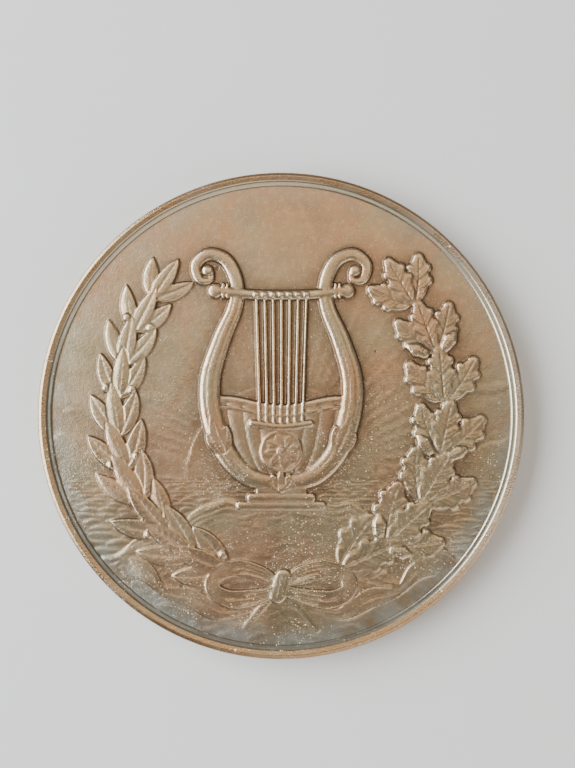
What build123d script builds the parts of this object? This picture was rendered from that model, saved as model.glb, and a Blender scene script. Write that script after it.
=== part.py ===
from build123d import *

import math
import os
from collections import namedtuple

# A struck bronze commemorative medal that lies face up on its reverse. It is one
# piece of metal: a round flan with a raised rim on both faces, a plain sunk
# reverse, and an obverse in relief. The relief shows a lyre in front of a rising
# sun over the sea, inside a wreath of laurel and oak that is tied with a ribbon.
# The origin is the middle of the face that it rests on, +Z points up out of the
# obverse, and +Y is the top of the design. Lengths are in millimetres.

# The flan
medal_diameter = 68.0
edge_thickness = 5.0  # from the rim of one face to the rim of the other
edge_rounding = 0.5
rim_land_width = 0.60  # the top of the obverse's rim, before the edge's rounding
rim_step_width = 0.17  # each of its two steps up from the field, seen from above
rim_ledge_width = 0.40  # between the two steps
rim_tilt = 9.0  # in degrees, by which land and ledge lean towards the middle
rim_fillet = 0.06  # where the steps meet the land, the ledge and the field
obverse_drop = 0.8  # from the top of the rim down to the obverse field
reverse_land_width = 0.85
reverse_slope_width = 0.35
reverse_fillet = 0.2
reverse_drop = 0.5

# The relief
relief_height = 0.75  # of the highest point above the obverse field
relief_root = 0.3  # how far each form goes down into the flan
laurel_leaf_length = 8.0
laurel_leaf_width = 2.9
oak_leaf_length = 9.2
oak_leaf_width = 5.0
stem_width = 1.1
berry_diameter = 1.3
acorn_length = 2.3
acorn_width = 1.5
string_width = 0.45
ribbon_width = 2.5
laurel_groups = 10
oak_groups = 7
string_count = 7
petal_count = 8
ray_count = 21

medal_radius = medal_diameter / 2
rim_inner_radius = medal_radius - edge_rounding - rim_land_width
ledge_outer_radius = rim_inner_radius - rim_step_width
ledge_inner_radius = ledge_outer_radius - rim_ledge_width
field_radius = ledge_inner_radius - rim_step_width
reverse_land_radius = medal_radius - edge_rounding - reverse_land_width
reverse_field_radius = reverse_land_radius - reverse_slope_width
obverse_level = edge_thickness - obverse_drop
root_level = obverse_level - relief_root
root_plane = Plane.XY.offset(root_level)

# Below, across and up are shares of the field's radius from its centre, and rise
# is a share of the relief's height. So are other lengths, of the field's radius.
Place = namedtuple("Place", "across up")
WREATH_STEM = [
    Place(0.155, -0.925),
    Place(0.085, -0.845),
    Place(-0.020, -0.750),
    Place(-0.240, -0.685),
    Place(-0.460, -0.560),
    Place(-0.625, -0.355),
    Place(-0.705, -0.100),
    Place(-0.695, 0.180),
    Place(-0.610, 0.420),
    Place(-0.500, 0.590),
]
stem_rise = 0.34
stem_tip = 0.6  # the width of a stem at its tip, as a share of that at its foot
ArmSection = namedtuple("ArmSection", "across up radius rise")
LYRE_ARM = [
    ArmSection(0.030, -0.315, 0.034, 0.55),
    ArmSection(0.150, -0.280, 0.043, 0.65),
    ArmSection(0.245, -0.175, 0.048, 0.76),
    ArmSection(0.300, -0.020, 0.049, 0.80),
    ArmSection(0.310, 0.140, 0.046, 0.78),
    ArmSection(0.262, 0.310, 0.040, 0.74),
    ArmSection(0.205, 0.450, 0.034, 0.70),
    ArmSection(0.196, 0.560, 0.031, 0.68),
    ArmSection(0.240, 0.660, 0.031, 0.66),
    ArmSection(0.318, 0.692, 0.029, 0.64),
    ArmSection(0.376, 0.645, 0.025, 0.60),
    ArmSection(0.362, 0.580, 0.020, 0.54),
    ArmSection(0.315, 0.576, 0.015, 0.48),
]
soundbox_sections = 4  # the arm sections that bound the soundbox
soundbox_top = Place(0, 0.015)
arch_reach = 0.34  # half the width of the arch that the soundbox is cut to
arch_foot = 0.30
arch_rise = 0.52
scroll_eye = Place(0.323, 0.620)
crossbar = Place(0.275, 0.510)
knob = Place(0.290, 0.510)
bridge = Place(0.125, -0.065)
string_foot_pitch = 0.031
string_head_pitch = 0.037
string_rise = 0.78
rosette = Place(0, -0.175)
petal_length = 0.068
petal_width = 0.046
petal_rise = 0.94

# A boss is round, and dome is the part of its rise that is domed
Boss = namedtuple("Boss", "radius rise dome")
peg_boss = Boss(0.0145, 0.98, 0.10)
knob_boss = Boss(0.034, 0.92, 0.30)
eye_boss = Boss(0.026, 0.76, 0.25)
rosette_disc = Boss(0.092, 0.86, 0.04)
rosette_eye = Boss(0.021, 1.00, 0.12)
knot_boss = Boss(0.042, 0.92, 0.25)

# A raised bar lies across the design; reach is half its length, depth its width
Bar = namedtuple("Bar", "up reach depth rise")
LYRE_BARS = [
    Bar(-0.412, 0.175, 0.042, 0.42),
    Bar(-0.376, 0.130, 0.040, 0.52),
    Bar(-0.342, 0.090, 0.042, 0.46),
    Bar(bridge.up, bridge.across, 0.034, 0.93),
    Bar(crossbar.up, crossbar.across, 0.045, 0.86),
]

# One side of the ribbon; width is a share of the ribbon's own
RibbonSection = namedtuple("RibbonSection", "across up width rise")
RIBBON_LOOP_TOP = [
    RibbonSection(0.005, -0.742, 0.55, 0.60),
    RibbonSection(0.085, -0.697, 0.85, 0.54),
    RibbonSection(0.185, -0.675, 0.85, 0.64),
    RibbonSection(0.262, -0.700, 0.80, 0.52),
    RibbonSection(0.290, -0.760, 0.75, 0.62),
]
RIBBON_LOOP_FOOT = [
    RibbonSection(0.292, -0.735, 0.60, 0.66),
    RibbonSection(0.270, -0.790, 0.85, 0.70),
    RibbonSection(0.195, -0.808, 0.85, 0.76),
    RibbonSection(0.110, -0.795, 0.85, 0.66),
    RibbonSection(0.005, -0.768, 0.55, 0.72),
]
RIBBON_TAIL = [
    RibbonSection(0.020, -0.765, 0.70, 0.42),
    RibbonSection(0.120, -0.835, 1.00, 0.58),
    RibbonSection(0.250, -0.868, 0.70, 0.38),
    RibbonSection(0.385, -0.805, 1.00, 0.56),
    RibbonSection(0.500, -0.775, 0.65, 0.36),
    RibbonSection(0.585, -0.690, 1.00, 0.52),
    RibbonSection(0.670, -0.665, 0.80, 0.30),
]
knot = Place(0, -0.755)

# The low forms behind the lyre
horizon = -0.30
sun_radius = 0.415
sun_rise = 0.08
long_ray = 1.10
short_ray = 0.80
ray_rise = 0.05
ray_fill = 0.6  # of the angle from one ray to the next
scenery_radius = 0.97
mound_top = -0.375
mound_radius = 0.98
mound_rise = 0.22
Hill = namedtuple("Hill", "across reach top rise")
HILLS = [
    Hill(-0.60, 0.33, -0.15, 0.100),
    Hill(0.66, 0.30, -0.17, 0.110),
]
# reach is half a cloud's or a wave's length, depth its whole width
Cloud = namedtuple("Cloud", "across up reach depth rise")
CLOUDS = [
    Cloud(-0.80, 0.100, 0.12, 0.060, 0.08),
    Cloud(-0.84, 0.020, 0.09, 0.050, 0.10),
    Cloud(0.79, 0.160, 0.12, 0.060, 0.08),
    Cloud(0.83, 0.085, 0.09, 0.050, 0.10),
]
WaveRow = namedtuple("WaveRow", "up count reach depth rise")
SEA = [
    WaveRow(-0.335, 15, 0.050, 0.016, 0.070),
    WaveRow(-0.378, 13, 0.060, 0.022, 0.080),
    WaveRow(-0.435, 11, 0.070, 0.028, 0.095),
    WaveRow(-0.505, 9, 0.085, 0.034, 0.110),
    WaveRow(-0.590, 8, 0.095, 0.042, 0.125),
]

# Lobes of an oak leaf; reach is from its midrib as a share of its width, along
# and radius are shares of its length
Lobe = namedtuple("Lobe", "along reach radius")
OAK_LOBES = [
    Lobe(0.28, 0.16, 0.075),
    Lobe(0.48, 0.30, 0.095),
    Lobe(0.69, 0.25, 0.085),
]
oak_tip_lobe = 0.12
oak_spine = 0.2  # half the width of a leaf between its lobes
laurel_belly = 0.45  # where a leaf is widest, along its length
petal_belly = 0.55

# The leaves of one group; spread is in degrees from the stem's heading, sway
# makes one side fuller, and rise is that of the leaf's base
Leaf = namedtuple("Leaf", "spread sway rise")
LEAF_GROUP = [
    Leaf(36, -0.12, 0.28),
    Leaf(-36, 0.12, 0.28),
    Leaf(0, 0, 0.42),
]
leaf_climb = 0.14  # from the base of a leaf to its tip
leaf_ridge = 0.14  # of its midrib above its edges
tip_shrink = 0.20  # how much smaller the last group's leaves are
first_group = 0.26  # as a share of the stem's length
last_group = 0.94
fruit_splay = 55  # degrees
berry_reach = 0.070
berry_rise = 0.60
berry_dome = 0.22
acorn_reach = 0.055
acorn_sink = 0.2  # in mm, from the field down to its middle
acorn_cup = 0.30
acorn_cup_swell = 1.12
petal_chamfer = 0.06


def spot(place):
    """The point on the obverse field at a place of the design."""
    return Vector(place.across * field_radius, place.up * field_radius, obverse_level)


def mirrored(rows):
    """The same rows for the other side of the design."""
    return [row._replace(across=-row.across) for row in rows]


def heading(direction):
    """The angle in degrees of a direction along the field."""
    return math.degrees(math.atan2(direction.Y, direction.X))


def ahead(point, turn, distance):
    """The point at a distance from another, along the field."""
    angle = math.radians(turn)
    return point + Vector(math.cos(angle), math.sin(angle), 0) * distance


def laid(solid, point, turn):
    """A form that was made on the XY plane, laid on the field and turned."""
    return solid.moved(Location(point, (0, 0, turn)))


def roofed(outline, length, width, base_rise):
    """Raises an outline along X to a ridged roof that climbs to its tip."""
    rise = base_rise * relief_height
    climb = leaf_climb * relief_height
    ridge = leaf_ridge * relief_height
    floor = -relief_root - climb
    with BuildPart() as leaf:
        add(outline)
        extrude(amount=relief_root + relief_height)
        with BuildSketch(Plane.YZ):
            with BuildLine():
                Polyline(
                    (width, floor),
                    (width, rise - ridge),
                    (0, rise + ridge),
                    (-width, rise - ridge),
                    (-width, floor),
                    close=True,
                )
            make_face()
        extrude(amount=math.hypot(length, climb), dir=(length, 0, climb), mode=Mode.INTERSECT)
    return leaf.part


def laurel_leaf(leaf, shrink):
    """A pointed leaf along X from its stalk."""
    length = laurel_leaf_length * shrink
    width = laurel_leaf_width * shrink
    middle = laurel_belly * length
    with BuildSketch(Plane.XY.offset(-relief_root)) as outline:
        with BuildLine():
            ThreePointArc((0, 0), (middle, width * (0.5 + leaf.sway)), (length, 0))
            ThreePointArc((length, 0), (middle, width * (leaf.sway - 0.5)), (0, 0))
        make_face()
    return roofed(outline.sketch, length, width, leaf.rise)


def oak_leaf(leaf, shrink):
    """A lobed leaf along X from its stalk."""
    length = oak_leaf_length * shrink
    width = oak_leaf_width * shrink
    tip = length * (1 - oak_tip_lobe)
    spine = oak_spine * width
    with BuildSketch(Plane.XY.offset(-relief_root)) as outline:
        with BuildLine():
            ThreePointArc((0, 0), (length / 2, spine), (tip, 0))
            ThreePointArc((tip, 0), (length / 2, -spine), (0, 0))
        make_face()
        for lobe in OAK_LOBES:
            along = lobe.along * length
            with Locations((along, lobe.reach * width), (along, -lobe.reach * width)):
                Circle(lobe.radius * length)
        with Locations((tip, 0)):
            Circle(oak_tip_lobe * length)
    return roofed(outline.sketch, length, width, leaf.rise)


def boss(row):
    """A round post on the field that ends in a dome."""
    radius = row.radius * field_radius
    top = row.rise * relief_height
    dome = row.dome * relief_height
    with BuildPart() as post:
        with BuildSketch(Plane.XZ):
            with BuildLine():
                Polyline((0, top), (0, -relief_root), (radius, -relief_root), (radius, top - dome))
                TangentArc((0, top), (radius, top - dome), tangent=(1, 0))
            make_face()
        revolve(axis=Axis.Z)
    return post.part


def petal():
    """A petal of the rosette, along X from its middle."""
    length = petal_length * field_radius
    middle = petal_belly * length
    half = petal_width * field_radius / 2
    with BuildPart() as lobe:
        with BuildSketch(Plane.XY.offset(-relief_root)):
            with BuildLine():
                ThreePointArc((0, 0), (middle, half), (length, 0))
                ThreePointArc((length, 0), (middle, -half), (0, 0))
            make_face()
        extrude(amount=relief_root + petal_rise * relief_height)
        chamfer(lobe.edges().group_by(Axis.Z)[-1], petal_chamfer * relief_height)
    return lobe.part


def acorn():
    """An acorn in its cup, along X from its stalk, more than half sunk in the field."""
    cup = acorn_cup * acorn_length
    radius = acorn_width / 2
    with BuildPart() as nut:
        with BuildSketch(Plane.XZ):
            with BuildLine():
                EllipticalCenterArc((cup, 0), acorn_length - cup, radius, 0, arc_size=90)
                Polyline((cup, radius), (0, radius), (0, 0), (acorn_length, 0))
            make_face()
        revolve(axis=Axis.X)
        Sphere(acorn_cup_swell * radius)
    return nut.part.moved(Pos(0, 0, -acorn_sink))


def bar(start, end, width, rise):
    """A straight bar on the field with an arched top, from one point to another."""
    half = width / 2
    span = end - start
    with BuildPart() as beam:
        with BuildSketch(Plane.YZ):
            with BuildLine():
                Polyline((half, 0), (half, -relief_root), (-half, -relief_root), (-half, 0))
                EllipticalCenterArc((0, 0), half, rise, 0, arc_size=180)
            make_face()
        extrude(amount=span.length)
    return laid(beam.part, start, heading(span))


def twig(places):
    """A wreath's stem on the field, with upright sides, narrower at its tip."""
    points = [spot(place) for place in places]
    last = len(points) - 1
    sides = ([], [])
    for index, point in enumerate(points):
        along = points[min(index + 1, last)] - points[max(index - 1, 0)]
        half = stem_width / 2 * (1 + (stem_tip - 1) * index / last)
        for side, turn in zip(sides, (90, -90)):
            side.append(ahead(point, heading(along) + turn, half))
    with BuildPart() as stem:
        with BuildSketch(root_plane):
            with BuildLine():
                for side in sides:
                    Spline(*[(point.X, point.Y) for point in side])
                for end in (0, last):
                    Line(*[(side[end].X, side[end].Y) for side in sides])
            make_face()
        extrude(amount=relief_root + stem_rise * relief_height)
    return stem.part


def arm(rows):
    """An arm of the lyre, half sunk in the field, through its sections."""
    points = [spot(row) for row in rows]
    with BuildPart() as limb:
        with BuildLine() as line:
            Spline(*points)
        for row, point in zip(rows, points):
            along = line.edge().tangent_at(point)
            with BuildSketch(Plane(point, x_dir=(0, 0, 1), z_dir=along)):
                Ellipse(row.rise * relief_height, row.radius * field_radius)
        loft()
    return limb.part


def strip(rows):
    """A length of ribbon on the field, with upright sides and a folded top."""
    points = [spot(row) for row in rows]
    last = len(points) - 1
    with BuildPart() as band:
        for index, row in enumerate(rows):
            along = points[min(index + 1, last)] - points[max(index - 1, 0)]
            top = row.rise * relief_height
            centre = points[index] + Vector(0, 0, (top - relief_root) / 2)
            with BuildSketch(Plane(centre, x_dir=(0, 0, 1), z_dir=along)):
                Rectangle(top + relief_root, row.width * ribbon_width)
        loft(ruled=True)
    return band.part


def stations(stem, groups):
    """Where the leaf groups of a branch stand on its stem, and their headings."""
    for number in range(groups):
        share = first_group + (last_group - first_group) * number / (groups - 1)
        yield number, stem @ share, heading(stem % share)


def foliage(stem, groups, make_leaf):
    """The leaves of a branch, smaller towards its tip."""
    leaves = []
    for number, point, turn in stations(stem, groups):
        shrink = 1 - tip_shrink * number / groups
        for leaf in LEAF_GROUP:
            leaves.append(laid(make_leaf(leaf, shrink), point, turn + leaf.spread))
    return leaves


def fruit(stem, groups, solid, reach):
    """A pair of berries or acorns beside the stem at every other leaf group."""
    pairs = []
    for number, point, turn in stations(stem, groups):
        if number % 2 == 0:
            for side in (turn + fruit_splay, turn - fruit_splay):
                pairs.append(laid(solid, ahead(point, side, reach * field_radius), side))
    return pairs


# The half sun, with rays that start at its middle
sun_edge = sun_radius * field_radius
horizon_line = horizon * field_radius
ray_pitch = 180 / ray_count
ray_half_width = sun_edge * math.tan(math.radians(ray_pitch * ray_fill / 2))
with BuildPart() as sunrise:
    with BuildSketch(root_plane):
        with BuildLine():
            CenterArc((0, horizon_line), sun_edge, 0, 180)
            Line((-sun_edge, horizon_line), (sun_edge, horizon_line))
        make_face()
    extrude(amount=relief_root + sun_rise * relief_height)
    for number in range(ray_count):
        angle = math.radians(ray_pitch * (number + 0.5))
        ray_end = (long_ray, short_ray)[number % 2] * field_radius
        with BuildSketch(Plane((0, horizon_line, root_level), (math.cos(angle), math.sin(angle), 0))):
            with BuildLine():
                Polyline((0, 0), (sun_edge, -ray_half_width), (ray_end, 0), (sun_edge, ray_half_width), close=True)
            make_face()
        extrude(amount=relief_root + ray_rise * relief_height)
    with BuildSketch(root_plane):
        Circle(scenery_radius * field_radius)
    extrude(amount=relief_root + relief_height, mode=Mode.INTERSECT)

# Hills on the horizon, and clouds
with BuildPart() as skyline:
    for hill in HILLS:
        with BuildSketch(root_plane):
            with BuildLine():
                left = ((hill.across - hill.reach) * field_radius, horizon_line)
                right = ((hill.across + hill.reach) * field_radius, horizon_line)
                ThreePointArc(right, (hill.across * field_radius, hill.top * field_radius), left)
                Line(left, right)
            make_face()
            Circle(scenery_radius * field_radius, mode=Mode.INTERSECT)
        extrude(amount=relief_root + hill.rise * relief_height)
    for cloud in CLOUDS:
        with BuildSketch(root_plane):
            with Locations((cloud.across * field_radius, cloud.up * field_radius)):
                SlotOverall(2 * cloud.reach * field_radius, cloud.depth * field_radius)
        extrude(amount=relief_root + cloud.rise * relief_height)

# Rows of waves, and the mound that the lyre stands on
with BuildPart() as foreground:
    for row in SEA:
        row_reach = math.sqrt(scenery_radius**2 - row.up**2)
        pitch = 2 * row_reach / row.count * field_radius
        with BuildSketch(root_plane):
            with Locations((0, row.up * field_radius)):
                with GridLocations(pitch, 0, row.count, 1):
                    SlotOverall(2 * row.reach * field_radius, row.depth * field_radius)
        extrude(amount=relief_root + row.rise * relief_height)
    with BuildSketch(root_plane):
        with Locations((0, (mound_top - mound_radius) * field_radius)):
            Circle(mound_radius * field_radius)
        Circle(rim_inner_radius, mode=Mode.INTERSECT)
    extrude(amount=relief_root + mound_rise * relief_height)

# The domed soundbox between the lyre's arms
with BuildPart() as soundbox:
    with BuildSketch(root_plane):
        with BuildLine():
            side = [(row.across * field_radius, row.up * field_radius) for row in LYRE_ARM[:soundbox_sections]]
            other_side = [(-across, up) for across, up in side]
            Spline(*side)
            ThreePointArc(side[-1], (0, soundbox_top.up * field_radius), other_side[-1])
            Spline(*other_side)
            Line(side[0], other_side[0])
        make_face()
    extrude(amount=relief_root + relief_height)
    with BuildSketch(Plane.XZ.offset(-field_radius)):
        half = arch_reach * field_radius
        foot = obverse_level + arch_foot * relief_height
        with BuildLine():
            Polyline((half, foot), (half, root_level), (-half, root_level), (-half, foot))
            EllipticalCenterArc((0, foot), half, arch_rise * relief_height, 0, arc_size=180)
        make_face()
    extrude(amount=2 * field_radius, mode=Mode.INTERSECT)

# The lyre's arms, bars, strings, pegs, knobs and scroll eyes
lyre_forms = [soundbox.part, arm(LYRE_ARM), arm(mirrored(LYRE_ARM))]
for row in LYRE_BARS:
    start = spot(Place(-row.reach, row.up))
    end = spot(Place(row.reach, row.up))
    lyre_forms.append(bar(start, end, row.depth * field_radius, row.rise * relief_height))
for number in range(string_count):
    step = number - (string_count - 1) / 2
    foot = spot(Place(step * string_foot_pitch, bridge.up))
    head = spot(Place(step * string_head_pitch, crossbar.up))
    lyre_forms.append(bar(foot, head, string_width, string_rise * relief_height))
    lyre_forms.append(laid(boss(peg_boss), head, 0))
for place in (knob, *mirrored([knob])):
    lyre_forms.append(laid(boss(knob_boss), spot(place), 0))
for place in (scroll_eye, *mirrored([scroll_eye])):
    lyre_forms.append(laid(boss(eye_boss), spot(place), 0))
with BuildPart() as lyre:
    add(lyre_forms)

# The rosette on the soundbox
rosette_forms = [laid(boss(rosette_disc), spot(rosette), 0), laid(boss(rosette_eye), spot(rosette), 0)]
for number in range(petal_count):
    turn = 360 * number / petal_count
    rosette_forms.append(laid(petal(), ahead(spot(rosette), turn, rosette_eye.radius * field_radius / 2), turn))
with BuildPart() as bloom:
    add(rosette_forms)

# The laurel branch on the left and the oak branch on the right
with BuildLine() as laurel_line:
    Spline(*[spot(row) for row in WREATH_STEM])
with BuildLine() as oak_line:
    Spline(*[spot(row) for row in mirrored(WREATH_STEM)])
berry = boss(Boss(berry_diameter / 2 / field_radius, berry_rise, berry_dome))
laurel_leaves = foliage(laurel_line.edge(), laurel_groups, laurel_leaf)
oak_leaves = foliage(oak_line.edge(), oak_groups, oak_leaf)
with BuildPart() as laurel:
    add([twig(WREATH_STEM), *laurel_leaves, *fruit(laurel_line.edge(), laurel_groups, berry, berry_reach)])
with BuildPart() as oak:
    add([twig(mirrored(WREATH_STEM)), *oak_leaves, *fruit(oak_line.edge(), oak_groups, acorn(), acorn_reach)])

# The ribbon that ties them
ribbon_forms = [laid(boss(knot_boss), spot(knot), 0)]
for rows in (RIBBON_LOOP_TOP, RIBBON_LOOP_FOOT, RIBBON_TAIL):
    ribbon_forms.append(strip(rows))
    ribbon_forms.append(strip(mirrored(rows)))
with BuildPart() as ribbon:
    add(ribbon_forms)

# The heights of the obverse's rim. Its sharp outer corner stands a little above
# the rim's top, which is the highest line of that corner's rounding.
tilt = math.radians(rim_tilt)
corner_level = edge_thickness + edge_rounding * (math.cos(tilt) - 1 + (1 + math.sin(tilt)) * math.tan(tilt))
land_level = corner_level - (medal_radius - rim_inner_radius) * math.tan(tilt)
ledge_climb = rim_ledge_width * math.tan(tilt)
step_height = (land_level - obverse_level - ledge_climb) / 2

# The flan with the whole relief on it
with BuildPart() as medal:
    with BuildSketch(Plane.XZ):
        with BuildLine():
            Polyline(
                (0, reverse_drop),
                (reverse_field_radius, reverse_drop),
                (reverse_land_radius, 0),
                (medal_radius, 0),
                (medal_radius, corner_level),
                (rim_inner_radius, land_level),
                (ledge_outer_radius, land_level - step_height),
                (ledge_inner_radius, obverse_level + step_height),
                (field_radius, obverse_level),
                (0, obverse_level),
                close=True,
            )
        outline = make_face()
        by_radius = outline.vertices().group_by(Axis.X)
        rim_corners = [corner for group in by_radius[1:-1] for corner in group]
        fillet(by_radius[-1], radius=edge_rounding)
        fillet([corner for corner in rim_corners if corner.Y < edge_thickness / 2], radius=reverse_fillet)
        fillet([corner for corner in rim_corners if corner.Y > edge_thickness / 2], radius=rim_fillet)
    revolve(axis=Axis.Z)
    relief = [sunrise, skyline, foreground, lyre, bloom, laurel, oak, ribbon]
    add([form.part for form in relief], clean=False)
medal.part.label = "medal"

os.makedirs("parts", exist_ok=True)
export_step(medal.part, "parts/medal.step")
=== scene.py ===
import math

import bpy
import numpy as np
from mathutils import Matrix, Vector
from mathutils.geometry import delaunay_2d_cdt


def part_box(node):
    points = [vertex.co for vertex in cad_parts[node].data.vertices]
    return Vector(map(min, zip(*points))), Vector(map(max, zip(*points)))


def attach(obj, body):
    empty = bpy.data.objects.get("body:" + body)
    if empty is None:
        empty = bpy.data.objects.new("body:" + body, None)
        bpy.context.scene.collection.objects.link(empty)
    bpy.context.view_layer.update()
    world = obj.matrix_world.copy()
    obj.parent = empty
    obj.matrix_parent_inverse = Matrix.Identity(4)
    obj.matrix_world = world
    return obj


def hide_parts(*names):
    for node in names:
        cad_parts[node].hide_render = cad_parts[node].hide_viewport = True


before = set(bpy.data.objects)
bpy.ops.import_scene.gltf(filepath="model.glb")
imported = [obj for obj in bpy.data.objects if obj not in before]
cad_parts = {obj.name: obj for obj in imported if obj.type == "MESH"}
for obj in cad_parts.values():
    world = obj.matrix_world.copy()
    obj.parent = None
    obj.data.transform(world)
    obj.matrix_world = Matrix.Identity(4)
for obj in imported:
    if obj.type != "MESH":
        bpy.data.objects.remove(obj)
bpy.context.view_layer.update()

# The looks of a struck bronze medal that lies face up on its plain reverse. Its
# relief is sculpted as heights on a fine square grid and then meshed with more
# points where it is busy. Relief lengths are in millimetres, and everything that
# Blender holds is in metres.

MM = 0.001
node_low, node_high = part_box("medal")
medal_radius = (node_high[0] - node_low[0]) / 2 / MM
edge_thickness = (node_high[2] - node_low[2]) / MM
random_seed = 12
random = np.random.default_rng(random_seed)
vary = random.uniform

# The flan. It is the solid's, but its land leans by 12 degrees, its ledge is
# level, and the rim's steps and the outer corner have slight bevels.
edge_rounding = 0.5
edge_bevel_width = 0.52
edge_bevel_tilt = math.radians(18)
edge_bevel_rounding = 0.3
rim_land_width = 0.60
rim_step_width = 0.17
rim_bevel_width = 0.13  # of that, at the upper edge of each step
rim_bevel_height = 0.10
rim_ledge_width = 0.40
rim_tilt = math.radians(12)
rim_fillet = 0.03
obverse_drop = 0.8
reverse_land_width = 0.85
reverse_slope_width = 0.35
reverse_fillet = 0.2
reverse_drop = 0.5
rim_inner_radius = medal_radius - edge_rounding - rim_land_width
ledge_outer_radius = rim_inner_radius - rim_step_width
ledge_inner_radius = ledge_outer_radius - rim_ledge_width
field_radius = ledge_inner_radius - rim_step_width
reverse_land_radius = medal_radius - edge_rounding - reverse_land_width
reverse_field_radius = reverse_land_radius - reverse_slope_width
last_reverse_ring = 0.6 * field_radius
obverse_level = edge_thickness - obverse_drop

# The relief; its forms are laid with heights that the last step brings to scale
relief_height = 0.75  # of the highest point above the field
grid_pitch = 0.05
block_size = 16  # pitches along a coarse block of the mesh
grid_blocks = 84  # across the whole grid
die_softness = 0.06  # how far the struck metal rounds every form
dome_edge = 2 * grid_pitch  # over which the edge of a round form falls
leaf_edge = 0.16
bell_reach = 3  # widths of a bell, beyond which it is as good as 0
curve_steps = 24  # from one point of a curve to the next
leaf_steps = 30
bend_pivot = 0.3  # the share of a leaf at which it points its own way
# The wear measure also paints concave corners darker, partly dirt and partly painted shade
wear_reach = 0.35  # how far round a place the heights count for its wear
hollow_reach = 1.8
edge_wear = 0.04  # of the rim's edges, as a height above their surroundings
# Concave corners of the rim are painted darker by this, as dirt and painted shade
corner_dirt_and_shade = 0.03
tiny = 1e-12  # keeps a point that stands for a line from dividing by 0
point_budget = 80000
point_stray = 0.2  # of the mesh's points from the grid, in pitches
tolerance_range = (0.001, 10.0)  # of a block's error, within which the budget is met
tolerance_halvings = 14
ring_segments = 384
same_point = 1e-6  # points nearer than this are one
least_faces_up = 0.2  # the steepest part of the rim's steps that relief may cover
relief_over_rim = 0.01
last_relief_ring = field_radius - 0.25
ring_gap = 0.12  # from that ring to the nearest point inside it


# The relief: heights above the flat field on a square grid, in millimetres
pitches = grid_blocks * block_size
grid_start = -pitches / 2 * grid_pitch
grid = np.linspace(grid_start, -grid_start, pitches + 1)
relief = np.zeros((pitches + 1, pitches + 1))


def window(points, margin):
    """The part of the grid round some points, and its coordinates."""
    points = np.atleast_2d(points)
    low = np.searchsorted(grid, points.min(0) - margin)
    high = np.searchsorted(grid, points.max(0) + margin) + 1
    cut = (slice(low[1], high[1]), slice(low[0], high[0]))
    x, y = np.meshgrid(grid[cut[1]], grid[cut[0]])
    return cut, x, y


def region(low, high):
    """The part between two places, in shares of the field's radius."""
    cut, x, y = window(place([low, high]), 0)
    return cut, x / field_radius, y / field_radius


def lay(cut, cover, surface):
    """Puts a surface over what is there, where cover is 1."""
    relief[cut] += cover * (surface - relief[cut])


def join(cut, cover, surface):
    """Raises what is there to a surface, where cover is 1 and it is lower."""
    lay(cut, cover, np.maximum(surface, relief[cut]))


def raise_to(cut, surface):
    """Raises what is there to a surface wherever it is lower."""
    relief[cut] = np.maximum(relief[cut], surface)


def soft(value, edge):
    """A smooth step from 0 to 1 as value passes 0, edge wide."""
    t = np.clip(value / edge + 0.5, 0, 1)
    return t * t * (3 - 2 * t)


def hump(value):
    """A bell that is 1 at 0 and nearly 0 beyond 2."""
    return np.exp(-(value**2))


def place(points):
    """Places given in shares of the field's radius, in millimetres."""
    return np.array(points, float) * field_radius


def sided(points, side):
    """Some places, or where side is -1 their mirror image."""
    return [(side * across, up) for across, up in points]


def scaled(*shares):
    """Lengths given in shares of the field's radius, in millimetres."""
    return tuple(share * field_radius for share in shares)


def spread(values, share):
    """Values that lie evenly along a path, read at some shares of it."""
    return np.interp(share, np.linspace(0, 1, len(values)), values)


def smooth_path(points, count):
    """A smooth curve through some points, as count points evenly along it."""
    p = np.array(points, float)
    p = np.vstack([2 * p[0] - p[1], p, 2 * p[-1] - p[-2]])
    t = np.linspace(0, 1, curve_steps, endpoint=False)[:, None]
    fine = []
    for a, b, c, d in zip(p, p[1:], p[2:], p[3:]):
        square = (2 * a - 5 * b + 4 * c - d) * t**2
        cube = (3 * b - a - 3 * c + d) * t**3
        fine.append(b + 0.5 * ((c - a) * t + square + cube))
    fine = np.vstack(fine + [p[-2:-1]])
    run = lengths_along(fine)
    at = np.linspace(0, run[-1], count)
    return np.stack([np.interp(at, run, fine[:, k]) for k in (0, 1)], 1)


def lengths_along(points):
    """How far along a line each of its points lies."""
    return np.concatenate([[0], np.cumsum(np.linalg.norm(np.diff(points, axis=0), axis=1))])


def turning(base, angle, length, bend):
    """A leaf's midrib: a path from a point that turns by bend on its way."""
    facing = angle + bend * (np.linspace(0, 1, leaf_steps) - bend_pivot)
    steps = np.stack([np.cos(facing), np.sin(facing)], 1) * length / (leaf_steps - 1)
    path = np.cumsum(steps, 0)
    return np.array(base) + path - path[0]


def beside(path, distances):
    """The steps that lead from each point of a path to its left."""
    ahead = np.gradient(path, axis=0)
    left = np.stack([-ahead[:, 1], ahead[:, 0]], 1) / np.linalg.norm(ahead, axis=1)[:, None]
    return left * distances[:, None]


def along(path, x, y):
    """How far along a path each point lies, from 0 to 1, and how far to its left."""
    best = np.full(x.shape, np.inf)
    share = np.zeros(x.shape)
    side = np.zeros(x.shape)
    last = len(path) - 1
    for k in range(last):
        ax, ay = path[k]
        dx, dy = path[k + 1] - path[k]
        t = np.clip(((x - ax) * dx + (y - ay) * dy) / (dx * dx + dy * dy + tiny), 0, 1)
        ox = x - ax - t * dx
        oy = y - ay - t * dy
        distance = ox * ox + oy * oy
        near = distance < best
        best[near] = distance[near]
        share[near] = ((k + t) / last)[near]
        side[near] = (dx * oy - dy * ox)[near]
    return share, np.sign(side) * np.sqrt(best)


def heading(path, share):
    """The point and the direction at a share of a path."""
    k = int(np.clip(share * (len(path) - 1), 1, len(path) - 2))
    dx, dy = path[k + 1] - path[k - 1]
    return path[k], math.atan2(dy, dx)


def from_angle(angle, distance):
    return distance * np.array([math.cos(angle), math.sin(angle)])


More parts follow.
